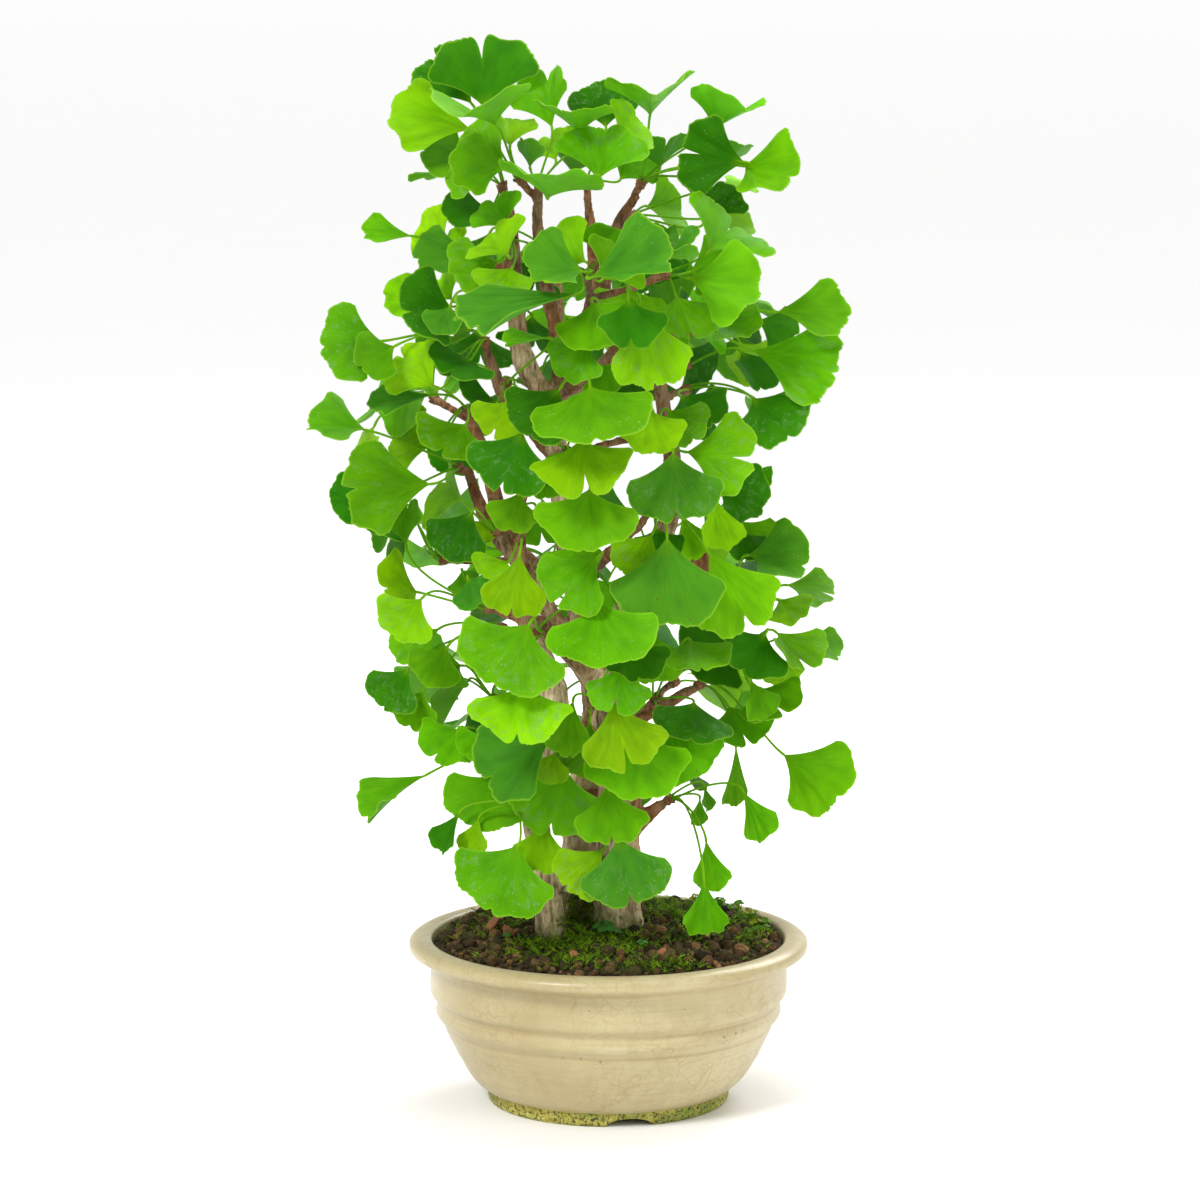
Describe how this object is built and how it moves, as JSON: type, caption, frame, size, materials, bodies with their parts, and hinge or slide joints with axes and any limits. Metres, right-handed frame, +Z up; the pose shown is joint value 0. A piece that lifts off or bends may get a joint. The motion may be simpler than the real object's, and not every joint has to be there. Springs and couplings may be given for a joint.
{
  "type": "potted ginkgo bonsai",
  "caption": "Small clump ginkgo tree with fan-shaped green leaves, growing in dark mossy soil in a round cream stoneware pot with a rolled rim and a foot ring.",
  "frame": {"origin": "centre of the whole part's box, on the plane that the pot's foot ring stands on", "axes": "+Z up along the trunks, -Y towards the side that the picture shows, +X to its right"},
  "size_m": [0.3238, 0.3215, 0.6374],
  "materials": {
    "cream_glaze": "crackled satin glaze",
    "dark_soil": "matt, granular",
    "bark": "rough bark",
    "leaf_green": "soft satin leaf"
  },
  "bodies": {
    "root": {"pot": "cream_glaze", "soil": "dark_soil", "trunk": "bark", "leaf_tuft_01": "leaf_green", "leaf_tuft_02": "leaf_green", "leaf_tuft_03": "leaf_green", "leaf_tuft_04": "leaf_green", "leaf_tuft_05": "leaf_green", "leaf_tuft_06": "leaf_green", "leaf_tuft_07": "leaf_green", "leaf_tuft_08": "leaf_green", "leaf_tuft_09": "leaf_green", "leaf_tuft_10": "leaf_green", "leaf_tuft_11": "leaf_green", "leaf_tuft_12": "leaf_green", "leaf_tuft_13": "leaf_green", "leaf_tuft_14": "leaf_green", "leaf_tuft_15": "leaf_green", "leaf_tuft_16": "leaf_green", "leaf_tuft_17": "leaf_green", "leaf_tuft_18": "leaf_green", "leaf_tuft_19": "leaf_green", "leaf_tuft_20": "leaf_green", "leaf_tuft_21": "leaf_green", "leaf_tuft_22": "leaf_green", "leaf_tuft_23": "leaf_green", "leaf_tuft_24": "leaf_green", "leaf_tuft_25": "leaf_green", "leaf_tuft_26": "leaf_green", "leaf_tuft_27": "leaf_green", "leaf_tuft_28": "leaf_green", "leaf_tuft_29": "leaf_green", "leaf_tuft_30": "leaf_green", "leaf_tuft_31": "leaf_green", "leaf_tuft_32": "leaf_green", "leaf_tuft_33": "leaf_green", "leaf_tuft_34": "leaf_green", "leaf_tuft_35": "leaf_green", "leaf_tuft_36": "leaf_green", "leaf_tuft_37": "leaf_green", "leaf_tuft_38": "leaf_green", "leaf_tuft_39": "leaf_green", "leaf_tuft_40": "leaf_green", "leaf_tuft_41": "leaf_green", "leaf_tuft_42": "leaf_green", "leaf_tuft_43": "leaf_green", "leaf_tuft_44": "leaf_green", "leaf_tuft_45": "leaf_green", "leaf_tuft_46": "leaf_green", "leaf_tuft_47": "leaf_green", "leaf_tuft_48": "leaf_green", "leaf_tuft_49": "leaf_green", "leaf_tuft_50": "leaf_green", "leaf_tuft_51": "leaf_green", "leaf_tuft_52": "leaf_green", "leaf_tuft_53": "leaf_green", "leaf_tuft_54": "leaf_green"}
  },
  "joints": []
}
